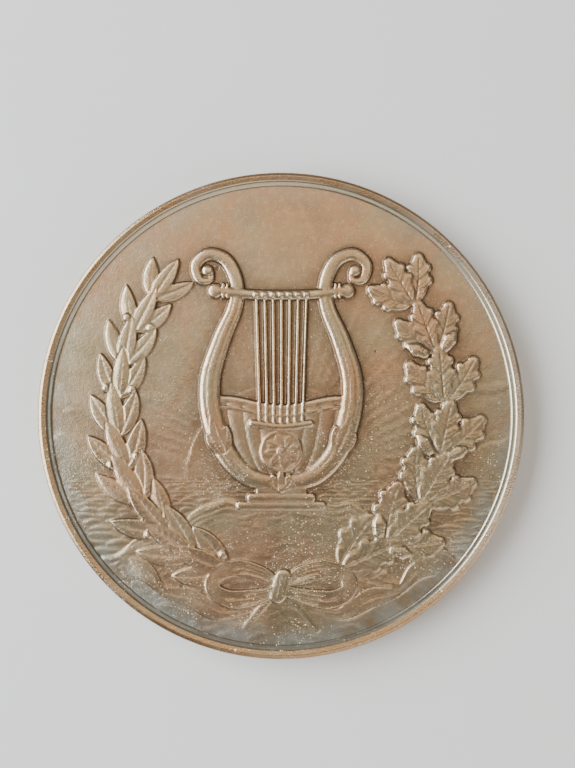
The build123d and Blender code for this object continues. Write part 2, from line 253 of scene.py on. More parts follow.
def stroke(path, radius, rise, level):
    """A rounded bar along a path; its sizes may be arrays along it."""
    cut, x, y = window(path, np.max(radius))
    share, offset = along(path, x, y)
    sizes = [np.broadcast_to(size, len(path)) for size in (radius, rise, level)]
    r, h, base = [spread(size, share) for size in sizes]
    dome = np.sqrt(np.clip(1 - (offset / r) ** 2, 0, 1))
    join(cut, soft(r - np.abs(offset), dome_edge), base + h * dome)


def bar(points, count, radius, rise, level):
    """A rounded bar on a smooth curve through some places of the design."""
    stroke(smooth_path(place(points), count), radius * field_radius, rise, level)


def ball(centre, radius, rise, level):
    """A round boss."""
    cut, x, y = window(centre, radius)
    reach = np.hypot(x - centre[0], y - centre[1]) / radius
    dome = np.sqrt(np.clip(1 - reach**2, 0, 1))
    join(cut, soft((1 - reach) * radius, dome_edge), level + rise * dome)


def knob(at, radius, rise, level):
    """A round boss at a place of the design."""
    ball(place(at), radius * field_radius, rise, level)


def groove(path, width, depth, ends=0.1):
    """An engraved line that fades out at its ends."""
    cut, x, y = window(path, bell_reach * width)
    share, offset = along(path, x, y)
    fade = soft(np.minimum(share, 1 - share) - ends, ends)
    relief[cut] -= depth * hump(offset / width) * fade


def blurred(height, sigma):
    """The heights smoothed by a bell of sigma grid pitches."""
    reach = int(math.ceil(bell_reach * sigma))
    bell = hump(np.arange(-reach, reach + 1) / sigma / math.sqrt(2))
    bell /= bell.sum()
    padded = np.pad(height, reach, mode="edge")
    rows, columns = height.shape
    upright = sum(w * padded[k : k + rows] for k, w in enumerate(bell))
    return sum(w * upright[:, k : k + columns] for k, w in enumerate(bell))


def clouds_of(shape, cell):
    """Smooth random values from -1 to 1 with features of about cell pitches."""
    coarse = vary(-1, 1, [int(count / cell) + 3 for count in shape])
    columns, rows = np.meshgrid(np.arange(shape[1]) / cell, np.arange(shape[0]) / cell)
    return sampled(coarse, columns, rows, True)


def uneven(shape, bumps):
    """Random unevenness, from the height and the size of each kind of bump."""
    return sum(rise * clouds_of(shape, size / grid_pitch) for rise, size in bumps)


def sampled(grid, column, row, smooth=False):
    """Values of a grid between its points."""
    c = np.clip(column.astype(int), 0, grid.shape[1] - 2)
    r = np.clip(row.astype(int), 0, grid.shape[0] - 2)
    u = column - c
    v = row - r
    if smooth:
        u = u * u * (3 - 2 * u)
        v = v * v * (3 - 2 * v)
    lower = grid[r, c] * (1 - u) + grid[r, c + 1] * u
    upper = grid[r + 1, c] * (1 - u) + grid[r + 1, c + 1] * u
    return lower * (1 - v) + upper * v


# The background: sun, clouds, hills, sea and mound. Places, widths and lengths
# are shares of the field's radius; rises, levels and edges are millimetres.

horizon = -0.30
sun_radius = 0.415
sun_rise = 0.10
sun_edge = 0.2
rays_on_half_turn = 40
ray_rise = 0.06
ray_flank = 0.62  # how gently a ray rises to its ridge
ray_gap = 0.6  # how much of its foot is cut away
ray_start = 0.44
ray_start_fade = 0.03
ray_ends = (1.12, 0.80)  # of long and short rays in turn
ray_end_fade = 0.32
cloud_ripple = 0.008
cloud_ripples = 40

# Of each cloud: across, up, half its width, half its height, rise
CLOUDS = [
    (-0.80, 0.100, 0.16, 0.030, 0.07),
    (-0.66, 0.045, 0.20, 0.028, 0.09),
    (-0.86, -0.010, 0.12, 0.022, 0.08),
    (0.78, 0.160, 0.17, 0.030, 0.07),
    (0.90, 0.100, 0.14, 0.026, 0.09),
    (0.70, 0.085, 0.13, 0.022, 0.07),
]
# Of each hill: across, width, height, rise
HILLS = [
    (-0.60, 0.26, 0.13, 0.08),
    (-0.96, 0.30, 0.19, 0.12),
    (0.68, 0.24, 0.11, 0.08),
    (0.99, 0.28, 0.18, 0.12),
]
hill_edge = 0.55
hill_fall = 0.25  # from a hill's top to its foot


def sky():
    """A half sun on the horizon whose rays fade out over the field, and clouds."""
    cut, u, v = region((-1, -1), (1, 1))
    reach = np.hypot(u, v - horizon)
    turn = np.arctan2(v - horizon, u) / math.pi * rays_on_half_turn
    ridge = 1 - np.abs(2 * (turn % 1) - 1)
    ray_end = np.where(np.floor(turn) % 2 == 0, *ray_ends)
    fade = np.clip((ray_end - reach) / ray_end_fade, 0, 1)
    fade *= np.clip((reach - ray_start) / ray_start_fade, 0, 1)
    above = v > horizon
    relief[cut] += ray_rise * np.clip(ridge / ray_flank - ray_gap, 0, 1) * fade * above
    relief[cut] += sun_rise * soft((sun_radius - reach) * field_radius, sun_edge) * above
    for across, up, wide, deep, rise in CLOUDS:
        rippled = v - up - cloud_ripple * np.sin(cloud_ripples * u)
        q = ((u - across) / wide) ** 2 + (rippled / deep) ** 2
        raise_to(cut, rise * np.clip(1 - q, 0, 1) ** 0.6)


def hills():
    """Far hills on both sides, with rough tops and slanting folds."""
    cut, u, v = region((-1.02, -0.5), (1.02, 0.1))
    for across, wide, high, rise in HILLS:
        rough = 1 + 0.05 * np.sin(23 * u + across * 9) + 0.03 * np.sin(51 * u)
        crest = horizon + high * hump((u - across) / wide) * rough
        folds = 0.018 * np.sin(34 * (u - across) + 26 * v) + 0.012 * np.sin(71 * (u - across) - 20 * v)
        surface = rise + folds - hill_fall * np.clip(crest - v, 0, 1)
        raise_to(cut, soft((crest - v) * field_radius, hill_edge) * surface)


sea_level = 0.07
sea_edge = 0.12
last_wave_row = -0.72
wave_side = 0.98  # how far out the rows go
wave_gap = 0.012  # between rows, at the horizon
wave_lengths = (0.10, 0.24)
wave_bows = (0.004, 0.02)
wave_sway = 0.25  # of the gap, by which one end may be higher
wave_steps = (0.75, 1.1)  # from one wave to the next, in its lengths
wave_points = 12


def sea():
    """Rows of wave crests that grow towards the foot of the design."""
    cut, _, y = window(place([(-1.02, -1.02), (1.02, -0.25)]), 0)
    lay(cut, soft(horizon * field_radius - y, sea_edge), sea_level)
    arch = np.sin(math.pi * np.linspace(0, 1, wave_points))
    up = horizon
    while up > last_wave_row:
        near = horizon - up
        gap = wave_gap + 0.09 * near
        up -= gap
        across = -wave_side + vary(0, 0.1)
        while across < wave_side:
            length = vary(*wave_lengths) * (0.5 + 1.6 * near)
            bow = vary(*wave_bows) * (0.3 + 1.5 * near)
            sway = vary(-wave_sway, wave_sway) * gap
            crest = [(across, up + sway), (across + length / 2, up + bow), (across + length, up - sway)]
            radius = 0.42 * gap * field_radius * arch + 0.05
            stroke(smooth_path(place(crest), wave_points), radius, 0.36 * radius, 0.06)
            across += length * vary(*wave_steps)


mound_level = 0.30
mound_crest = -0.405
mound_edge = 0.22
mound_swell = 0.10  # from its crest to its front, over mound_slope
mound_slope = 0.1
shoulder_start = 0.30
shoulder_fall = 0.55
CLODS = [(0.030, 0.9), (0.010, 0.35)]  # height and size
turf_start = 0.020  # below the mound's crest
turf_end = 0.62
turf_side = 0.85
turf_lengths = (0.12, 0.30)
turf_sway = 0.010
turf_widths = (0.7, 1.1)
turf_steps = (0.7, 1.0)
turf_points = 16
turf_level = 0.33


def mound_top(u):
    """The outline of the mound, with small rises along it."""
    shoulder = np.clip(np.abs(u) - shoulder_start, 0, 1) ** 1.3
    top = mound_crest + 0.03 * np.cos(5.2 * u) + 0.010 * np.sin(21 * u + 1) + 0.006 * np.sin(47 * u)
    return top - shoulder_fall * shoulder


def mound():
    """The ground in front, with clods."""
    cut, u, v = region((-1.02, -1.02), (1.02, -0.3))
    top = mound_top(u)
    front = np.clip((top - v) / mound_slope, 0, 1)
    surface = mound_level + mound_swell * front + uneven(u.shape, CLODS)
    lay(cut, soft((top - v) * field_radius, mound_edge), surface)


def turf():
    """Long low swells along the mound that grow towards its foot."""
    t = np.linspace(0, 1, turf_points)
    drop = turf_start
    while drop < turf_end:
        wide = 0.30 + 0.9 * drop
        across = -turf_side + vary(0, 0.15)
        while across < turf_side:
            length = vary(*turf_lengths)
            u = across + length * t
            up = mound_top(u) - drop + vary(-turf_sway, turf_sway) * np.cos(math.pi * t)
            swell = wide * vary(*turf_widths) * np.sin(math.pi * t) + 0.08
            stroke(place(np.stack([u, up], 1)), swell, 0.24 * swell, turf_level)
            across += length * vary(*turf_steps)
        drop += 0.024 + 0.035 * drop


# The lyre

LYRE_ARM = [
    (0.030, -0.315), (0.150, -0.280), (0.245, -0.175), (0.300, -0.020), (0.310, 0.140),
    (0.262, 0.310), (0.205, 0.450), (0.196, 0.560), (0.240, 0.660), (0.318, 0.692),
    (0.376, 0.645), (0.362, 0.580), (0.315, 0.576), (0.306, 0.612),
]
ARM_RADII = [
    *(0.034, 0.043, 0.048, 0.049, 0.046, 0.040, 0.034),
    *(0.031, 0.031, 0.029, 0.025, 0.020, 0.015, 0.011),
]
arm_points = 170
arm_rise = 0.60  # of its radius
arm_level = 0.50
arm_grooves = (-0.36, 0.36)  # their places across the arm, in its radii
grooved = slice(14, 120)  # the points of the arm beside the grooves
leaves_at = 30  # the point of the arm where its leaves start
leaves_heading = 0.275
ARM_LEAVES = [(0.42, 0.12, 1.10), (-0.42, 0.12, 1.10), (0.0, 0.17, 1.22)]  # spread, length, level
arm_leaf_width = 0.062
ARM_LEAF_FORM = (0.14, 0.10, 0.3, 0)
scroll_eye = (0.325, 0.618)

# Of each bar of the foot: up, half its length, radius, level
FOOT_BARS = [
    (-0.410, 0.175, 0.020, 0.44),
    (-0.375, 0.130, 0.020, 0.56),
    (-0.345, 0.090, 0.022, 0.50),
]
soundbox_foot = -0.315
soundbox_top = 0.030
soundbox_level = 0.34
soundbox_edge = 0.2
soundbox_dome = 0.50
soundbox_slope = 0.30  # the height over which the dome grows full
gadroons_beside_middle = 4.5
gadroon_rise = 0.26
LIPS = [(0.0, 0.82, 0.017), (-0.034, 0.90, 0.008)]  # up, level in the middle, radius
lip_reach = 0.29
lip_droop = 0.34
crossbar = 0.528
strings = range(-3, 4)
string_points = 30


def lip_up(across):
    """The upper edge of the soundbox."""
    return soundbox_top - 0.020 * np.cos(12 * np.abs(across))


def soundbox():
    """The domed and gadrooned body between the arms, with a lip at its top."""
    cut, u, v = region((-0.36, -0.48), (0.36, 0.17))
    side = smooth_path(LYRE_ARM, 150)[:80]
    edge = np.interp(v, side[:, 1], side[:, 0])
    inside = np.minimum(np.minimum(edge - np.abs(u), lip_up(u) - v), v - soundbox_foot) * field_radius
    across = np.clip(u / np.maximum(edge, 0.02), -1, 1)
    up = np.clip((v - soundbox_foot) / soundbox_slope, 0, 1)
    gadroons = np.abs(np.cos(across * math.pi * gadroons_beside_middle)) ** 0.6
    surface = soundbox_level + soundbox_dome * (1 - across**2) * up**0.6
    surface += gadroon_rise * gadroons * np.clip(4 * up, 0, 1)
    lay(cut, soft(inside, soundbox_edge), surface)
    t = np.linspace(-1, 1, 60)
    for lower, level, radius in LIPS:
        lip = [(lip_reach * k, lip_up(lip_reach * k) + lower) for k in np.linspace(-1, 1, 15)]
        bar(lip, 60, radius, 0.26, level - lip_droop * t * t)


def arms():
    """The two arms with scrolls, grooves and a wrap of leaves at their foot."""
    for side in (1, -1):
        points = place(sided(LYRE_ARM, side))
        path = smooth_path(points, arm_points)
        run = lengths_along(points)
        radius = np.interp(np.linspace(0, 1, arm_points), run / run[-1], ARM_RADII) * field_radius
        stroke(path, radius, arm_rise * radius, arm_level)
        knob((side * scroll_eye[0], scroll_eye[1]), 0.026, 0.55, 0.62)
        for share in arm_grooves:
            groove((path + beside(path, share * radius))[grooved], 0.15, 0.09, 0.02)
        _, angle = heading(path, leaves_heading)
        for turn, length, level in ARM_LEAVES:
            size = scaled(length, arm_leaf_width)
            facing = angle + side * (turn - 0.18)
            laurel_leaf(path[leaves_at], facing, size, 0.25 * side, level, ARM_LEAF_FORM)


def strung_bars():
    """The bridge, strings, crossbar, knobs, collars and pegs."""
    bar([(-0.125, -0.055), (0, -0.070), (0.125, -0.055)], 24, 0.017, 0.36, 1.02)
    for k in strings:
        string = np.linspace(*place([(0.031 * k, -0.060), (0.037 * k, crossbar - 0.008)]), string_points)
        stroke(string, 0.0072 * field_radius, 0.22, np.linspace(1.04, 0.78, string_points))
    sag = [(-0.275, 0), (-0.14, 0.016), (0, 0.020), (0.14, 0.016), (0.275, 0)]
    bar([(across, crossbar - drop) for across, drop in sag], 60, 0.0225, 0.46, 0.80)
    for side in (1, -1):
        knob((side * 0.290, crossbar), 0.034, 0.62, 0.62)
        for across in (0.238, 0.256):
            collar = place([(side * across, crossbar - 0.030), (side * across, crossbar + 0.028)])
            stroke(np.linspace(*collar, 12), 0.0075 * field_radius, 0.22, 1.05)
    for k in strings:
        knob((0.037 * k, crossbar - 0.018), 0.0145, 0.30, 1.18)


rosette_centre = (0, -0.175)
rosette_radius = 0.092
rosette_rim = 0.083
rosette_level = 1.02
petals = 8
palmette_foot = (0, -0.338)
PALMETTE = [(1.15, 0.062), (-1.15, 0.062), (0.62, 0.078), (-0.62, 0.078), (0, 0.088)]  # spread, length


def rosette():
    """A flower on a raised disc with a bead round it."""
    centre = place(rosette_centre)
    cut, x, y = window(centre, 0.100 * field_radius)
    reach = np.hypot(x - centre[0], y - centre[1])
    disc = rosette_level + 0.10 * hump((reach - rosette_rim * field_radius) / 0.22)
    lay(cut, soft(rosette_radius * field_radius - reach, leaf_edge), disc)
    for k in range(petals):
        angle = 2 * math.pi * k / petals + 0.2
        foot = centre + from_angle(angle, 0.25)
        laurel_leaf(foot, angle, scaled(0.072, 0.046), 0, 1.05, (0.18, 0, 0, 0))
    knob(rosette_centre, 0.021, 0.34, 1.08)


def palmette():
    """A fan of small leaves where the arms meet."""
    foot = place(palmette_foot)
    for turn, length in PALMETTE:
        form = (0.20, 0, 0.1, 0)
        laurel_leaf(foot, math.pi / 2 + turn, scaled(length, 0.036), -0.5 * turn, 0.98, form)
    knob(palmette_foot, 0.020, 0.36, 0.90)


def lyre():
    for up, reach, radius, level in FOOT_BARS:
        bar([(-reach, up), (0, up), (reach, up)], 20, radius, 0.34, level)
    for form in (soundbox, arms, strung_bars, rosette, palmette):
        form()


# The wreath. Its stem is the laurel's, and mirrored it is the oak's.

WREATH_STEM = [
    (0.155, -0.935), (0.085, -0.845), (-0.020, -0.750), (-0.240, -0.685), (-0.460, -0.560),
    (-0.625, -0.355), (-0.705, -0.100), (-0.695, 0.180), (-0.610, 0.420), (-0.500, 0.590),
]
stem_points = 160
stem_level = 0.34
leaf_midrib = 0.15  # half the width of its groove
leaf_shrink = 0.22  # from the stem's foot to its tip

# Of each leaf of a group: its side, spread, length, level
LAUREL_LEAVES = [(1, 0.62, 0.245, 0.50), (-1, -0.62, 0.245, 0.50), (0, 0, 0.255, 0.66)]
OAK_LEAVES = [(1, 0.70, 0.285, 0.44), (-1, -0.70, 0.285, 0.44), (0, 0, 0.29, 0.64)]
laurel_groups = (10, 0.245, 0.945)  # how many, and the first and last share of the stem
oak_groups = (7, 0.25, 0.925)
laurel_width = 0.090
oak_width = 0.165
berry_radius = 0.0195
acorn_length = 2.9
acorn_radius = 0.82


def laurel_leaf(base, angle, size, bend, level, form):
    """A pointed leaf with a sunk midrib; form is how much it is cambered, raised
    at its edges, lifted at its tip and twisted."""
    length, width = size
    camber, fold, lift, twist = form
    path = turning(base, angle, length, bend)
    cut, x, y = window(path, 0.6 * width)
    share, offset = along(path, x, y)
    belly = share**0.62 * (1 - share) ** 0.78
    half = width / 2 * belly / belly.max() + 1e-6
    a = np.clip(offset / half, -1.2, 1.2)
    inside = (share > 0) & (share < 1)
    veins = np.cos(2 * math.pi * (8.5 * share - 1.15 * np.abs(a)))
    veins = veins * (1 - hump(offset / 0.3)) * (1 - np.abs(a))
    surface = level + lift * (share - 0.25) ** 2 + camber * (1 - a * a) * np.sqrt(2 * half / width)
    midrib = 0.13 * hump(offset / leaf_midrib) * np.sqrt(1 - share)
    surface += fold * np.abs(a) + twist * a - midrib + 0.03 * veins
    lay(cut, soft(half - np.abs(offset), leaf_edge) * inside, surface)


# Of each pair of lobes: place along the leaf, reach, radius
OAK_LOBES = [
    (0.27, 0.17, 0.072),
    (0.49, 0.31, 0.092),
    (0.71, 0.27, 0.082),
]
OAK_TIP = (0.89, 0, 0.105)


def oak_leaf(base, angle, size, bend, level, form):
    """A leaf of round lobes, each of them a pillow with a sunk vein; form is how
    much it is cambered, lifted at its tip and twisted."""
    length, width = size
    camber, lift, twist = form
    path = turning(base, angle, length, bend)
    cut, x, y = window(path, 0.75 * width)
    share, offset = along(path, x, y)
    s = share * length
    body = 0.34 * width * np.sqrt(np.clip(1 - ((share - 0.52) / 0.44) ** 2, 0, 1)) + 0.12 * (1 - share)
    inside = body - np.abs(offset)
    pillow = np.full(x.shape, 0.30)
    lobes = [(k, side * reach, radius) for k, reach, radius in OAK_LOBES for side in (1, -1)]
    for k, reach, radius in lobes + [OAK_TIP]:
        foot = ((k - 0.16) * length, 0)
        tip = (k * length, reach * width)
        t, from_vein = along(np.array([foot, tip]), s, offset)
        inside = np.maximum(inside, radius * length * (0.75 + 0.25 * t) - np.abs(from_vein))
        dome = np.clip(1 - (from_vein / (1.12 * radius * length)) ** 2, 0, 1)
        vein = 0.38 * hump(from_vein / 0.11) * np.clip(3 * (1 - t), 0, 1)
        pillow = np.maximum(pillow, dome - vein)
    surface = level + lift * (share - 0.3) ** 2 + camber * pillow
    surface += twist * np.clip(2 * offset / width, -1, 1)
    surface += 0.10 * np.clip(inside / 0.35, 0, 1) - 0.18 * hump(offset / 0.13) * np.sqrt(1 - share)
    lay(cut, soft(inside, leaf_edge), surface)


def leaf_groups(stem, groups, first, last):
    """From tip to foot: a group's number, place, direction and shrink."""
    for number in reversed(range(groups)):
        point, angle = heading(stem, first + (last - first) * number / (groups - 1))
        yield number, point, angle, 1 - leaf_shrink * number / groups


def wreath_stem(side, radius, rise):
    """One of the two stems, which taper towards their tips."""
    stem = smooth_path(place(sided(WREATH_STEM, side)), stem_points)
    t = np.linspace(0, 1, stem_points)
    stroke(stem, (radius - 0.009 * t) * field_radius, rise - 0.1 * t, stem_level)
    return stem


def laurel():
    stem = wreath_stem(1, 0.017, 0.30)
    for number, point, angle, shrink in leaf_groups(stem, *laurel_groups):
        for side, turn, long, level in LAUREL_LEAVES:
            stray = vary(-0.07, 0.07)
            length = long * field_radius * shrink * vary(0.94, 1.05)
            width = laurel_width * field_radius * shrink * vary(0.95, 1.05)
            bend = -side * 0.42 + vary(-0.12, 0.12)
            fold = 0.16 * random.choice([-1, 1], p=[0.35, 0.65])
            form = (0.20, fold, vary(-0.25, 0.25), vary(-0.10, 0.10))
            laurel_leaf(point, angle + turn + stray, (length, width), bend, level, form)
        if number % 2 == 0:
            for side in (1, -1):
                berry = point + from_angle(angle + side * 0.95, 0.070 * field_radius)
                stroke(np.linspace(point, berry, 8), 0.0055 * field_radius, 0.12, 0.60)
                ball(berry, berry_radius * field_radius, 0.50, 0.62)


def oak():
    stem = wreath_stem(-1, 0.019, 0.32)
    for _, point, angle, shrink in leaf_groups(stem, *oak_groups):
        for side, turn, long, level in OAK_LEAVES:
            length = long * field_radius * shrink * vary(0.95, 1.05)
            width = oak_width * field_radius * shrink * vary(0.95, 1.05)
            stray = vary(-0.06, 0.06)
            form = (0.22, vary(-0.3, 0.2), vary(-0.10, 0.10))
            oak_leaf(point, angle + turn + stray, (length, width), -side * 0.35, level, form)
    for number, point, angle, _ in leaf_groups(stem, *oak_groups):
        if number % 2 == 1:
            for side in (1, -1):
                base = point + from_angle(angle + 1.35 * side, 0.052 * field_radius)
                stroke(np.linspace(point, base, 8), 0.22, 0.16, 0.62)
                acorn(base, angle + 0.85 * side, acorn_length, acorn_radius)


def acorn(base, angle, length, radius):
    """A pointed nut that sits in a wider cup of scales."""
    t = np.linspace(0, 1, 40)
    nut = np.linspace(base, base + from_angle(angle, length), 40)
    taper = radius * np.sqrt(np.clip(1 - ((t - 0.3) / 0.62) ** 2, 0, 1)) + 0.10 * (1 - t) + 0.02
    stroke(nut, taper, 0.80 * taper, 0.62)
    cup = np.linspace(base, base + from_angle(angle, 0.40 * length), 30)
    swell = 1.24 * radius * np.sin(math.pi * (0.14 + 0.40 * np.linspace(0, 1, 30)))
    stroke(cup, swell, 0.66 * swell, 0.72)
    cut, x, y = window(cup, swell.max())
    share, offset = along(cup, x, y)
    scales = np.cos(9 * share + 5.5 * offset) * np.cos(9 * share - 5.5 * offset)
    relief[cut] += 0.07 * scales * (np.abs(offset) < 1.1 * radius) * (share > 0) * (share < 0.95)


# The ribbon, with a knot, two tails and two loops, whose points are steps from
# the knot. Half widths and levels lie evenly along it, and a fold is a share of
# its half width and the first and last of the points beside it.

knot_up = -0.755
ribbon_points = 120
RIBBON_TAIL = [
    (0.02, -0.765), (0.12, -0.835), (0.25, -0.870), (0.385, -0.805), (0.50, -0.775),
    (0.585, -0.690), (0.67, -0.665),
]
TAIL_HALVES = [0.8, 1.3, 1.3, 1.3]
TAIL_LEVELS = [0.70, 0.62, 0.66, 0.62, 0.50]
TAIL_FOLDS = [(-0.35, 6, 60), (0.30, 4, 48), (0.0, 50, 112)]
RIBBON_LOOP = [
    (0.005, 0.008), (0.085, 0.058), (0.185, 0.080), (0.272, 0.052),
    (0.290, -0.012), (0.215, -0.052), (0.110, -0.042), (0.005, -0.010),
]
LOOP_HALVES = [0.60, 0.95, 1.15, 1.20, 1.15, 1.30, 1.15, 0.70]
LOOP_LEVELS = [0.70, 0.80, 0.80, 0.72, 0.86, 1.08, 1.10, 0.92]
LOOP_FOLDS = [(-0.5, 4, 34), (0.0, 3, 44), (0.45, 6, 38), (-0.45, 84, 116), (0.05, 70, 117), (0.5, 88, 115)]
STEM_END = [(0.150, -0.925), (0.085, -0.845), (0.02, -0.775)]


def band(points, halves, levels, waves, phase, notch, turn):
    """A ribbon along some points that rises and falls in waves, narrows where it
    turns over, and may end in a notch."""
    path = smooth_path(place(points), ribbon_points)
    cut, x, y = window(path, 1.3 * max(halves))
    share, offset = along(path, x, y)
    wave = 2 * math.pi * (waves * share + phase)
    width = spread(halves, share)
    width *= 1 - turn * (0.5 + 0.5 * np.cos(wave)) ** 2
    a = np.clip(offset / width, -1.3, 1.3)
    end = soft((1 - notch * (1 - np.abs(a)) - share) * 40, 0.3) if notch else 1
    cover = soft(width - np.abs(offset), leaf_edge) * (share > 0) * (share < 1) * end
    surface = spread(levels, share) + 0.16 * np.sin(wave) + 0.05 * a * np.cos(wave)
    surface += 0.07 * hump((np.abs(a) - 0.86) / 0.12) - 0.05 * a * a
    lay(cut, cover, surface)
    return path, beside(path, spread(halves, np.linspace(0, 1, ribbon_points)))


def folded(strip, folds, width, depth, ends):
    """Fold lines along a band, from what band gives."""
    path, left = strip
    for share, first, last in folds:
        groove((path + share * left)[first:last], width, depth, ends)


def across_knot(foot, head, count):
    """A slanting line over the knot; its ends are steps from the knot's middle."""
    ends = [place((across, knot_up + up)) for across, up in (foot, head)]
    return np.linspace(*ends, count)


def ribbon():
    for side in (1, -1):
        tail = band(sided(RIBBON_TAIL, side), TAIL_HALVES, TAIL_LEVELS, 2.3, 0.32, 0.05, 0.50)
        folded(tail, TAIL_FOLDS, 0.16, 0.10, 0.12)
        bar(sided(STEM_END, side), 30, 0.0175, 0.34, np.linspace(0.30, 0.55, 30))
    for side in (1, -1):
        points = [(side * across, knot_up + up) for across, up in RIBBON_LOOP]
        loop = band(points, LOOP_HALVES, LOOP_LEVELS, 2.0, 0.15, 0, 0.12)
        folded(loop, LOOP_FOLDS, 0.17, 0.13, 0.10)
    stroke(across_knot((-0.014, -0.036), (0.010, 0.040), 20), 0.036 * field_radius, 0.42, 0.86)
    for across in (-0.0105, 0.009):
        groove(across_knot((across - 0.014, -0.055), (across + 0.010, 0.060), 12), 0.15, 0.09)


# The flan's outline, turned round the axis

rounding_step = math.radians(22.5)


def rounded_line(corners):
    """A line through (radius, height, rounding) corners. Each row is a radius, a
    height, the two parts of the direction that the surface faces, and 1 where it
    is rounded over or -1 where it is rounded in."""
    points = np.array([corner[:2] for corner in corners], float)
    ahead = np.diff(points, axis=0)
    ahead /= np.linalg.norm(ahead, axis=1)[:, None]
    rows = [[*points[0], -ahead[0, 1], ahead[0, 0], 0]]
    for here, before, after, (_, _, rounding) in zip(points[1:], ahead, ahead[1:], corners[1:]):
        turn = math.atan2(before[0] * after[1] - before[1] * after[0], before @ after)
        trim = rounding * abs(math.tan(turn / 2))
        inward = np.array([-before[1], before[0]]) * math.copysign(1, turn)
        centre = here - before * trim + inward * rounding
        start = math.atan2(before[1], before[0])
        steps = max(2, int(math.ceil(abs(turn) / rounding_step)))
        for along_turn in np.linspace(start, start + turn, steps + 1):
            faces = np.array([-math.sin(along_turn), math.cos(along_turn)])
            at = centre - faces * rounding * math.copysign(1, turn)
            rows.append([*at, *faces, -math.copysign(1, turn)])
    rows.append([*points[-1], -ahead[-1, 1], ahead[-1, 0], 0])
    return np.array(rows)


# The land leans inwards. Its line meets the edge's at a corner a little above
# the rim's top, such that a rounding there would just reach that top.
land_rise = math.tan(rim_tilt)
corner_above_top = math.cos(rim_tilt) - 1 + (1 + math.sin(rim_tilt)) * land_rise
corner_level = edge_thickness + edge_rounding * corner_above_top
land_level = corner_level - (medal_radius - rim_inner_radius) * land_rise
step_height = (land_level - obverse_level) / 2
crest_level = corner_level - edge_bevel_width * land_rise
bevel_foot_level = crest_level - edge_bevel_width * math.tan(edge_bevel_tilt)
flan_line = rounded_line(
    [
        (last_relief_ring, obverse_level, 0),
        (field_radius, obverse_level, rim_fillet),
        (ledge_inner_radius - rim_bevel_width, obverse_level + step_height - rim_bevel_height, rim_fillet),
        (ledge_inner_radius, obverse_level + step_height, rim_fillet),
        (ledge_outer_radius, land_level - step_height, rim_fillet),
        (rim_inner_radius - rim_bevel_width, land_level - rim_bevel_height, rim_fillet),
        (rim_inner_radius, land_level, rim_fillet),
        (medal_radius - edge_bevel_width, crest_level, edge_bevel_rounding),
        (medal_radius, bevel_foot_level, edge_bevel_rounding),
        (medal_radius, 0, edge_rounding),
        (reverse_land_radius, 0, reverse_fillet),
        (reverse_field_radius, reverse_drop, reverse_fillet),
        (last_reverse_ring, reverse_drop, 0),
    ]
)


UNEVENNESS = [(0.010, 4.5), (0.004, 1.1)]  # height and size, of the struck metal


def strike():
    """Lays all forms of the relief and softens them as the die does."""
    for form in (sky, hills, sea, mound, turf, lyre, laurel, oak, ribbon):
        form()
    height = blurred(relief, die_softness / grid_pitch)
    height *= relief_height / height.max()
    relief[:] = height + uneven(height.shape, UNEVENNESS)


# Meshing: lattice points where the relief needs them, then rings round them


def block_errors(directions, size):
    """How far each block's directions leave those that its corners give, squared
    and added up."""
    blocks = (len(directions) - 1) // size
    corners = directions[::size, ::size]
    total = np.zeros((blocks, blocks))
    for row in range(size):
        v = row / size
        left = corners[:-1, :-1] * (1 - v) + corners[1:, :-1] * v
        right = corners[:-1, 1:] * (1 - v) + corners[1:, 1:] * v
        for column in range(size):
            u = column / size
            here = directions[row : row + size * blocks : size, column : column + size * blocks : size]
            total += ((here - left * (1 - u) - right * u) ** 2).sum(-1)
    return total


def lattice(shape, errors, tolerance):
    """The lattice points of every block that is off by more than this."""
    keep = np.zeros(shape, bool)
    keep[::block_size, ::block_size] = True
    for size, error in errors.items():
        rows, columns = np.nonzero(error > tolerance)
        for up in (0, size // 2, size):
            for across in (0, size // 2, size):
                keep[rows * size + up, columns * size + across] = True
    return keep


def slopes():
    """How the relief climbs across and up."""
    up, across = np.gradient(relief, grid_pitch)
    return across, up


def normals_of(across, up):
    """The directions that slopes face."""
    return np.stack([-across, -up, np.ones(up.shape)], -1)


def relief_points():
    """Places for the mesh's points on the field, about as many as the budget."""
    directions = normals_of(*slopes())
    directions /= np.linalg.norm(directions, axis=-1, keepdims=True)
    sizes = [block_size // share for share in (1, 2, 4, 8)]
    errors = {size: block_errors(directions, size) for size in sizes}
    x, y = np.meshgrid(grid, grid)
    inside = np.hypot(x, y) < last_relief_ring - ring_gap
    low, high = tolerance_range
    for _ in range(tolerance_halvings):
        tolerance = math.sqrt(low * high)
        keep = lattice(x.shape, errors, tolerance) & inside
        if keep.sum() > point_budget:
            low = tolerance
        else:
            high = tolerance
    keep = lattice(x.shape, errors, high) & inside
    points = np.stack([x[keep], y[keep]], 1)
    return points + vary(-point_stray, point_stray, points.shape) * grid_pitch


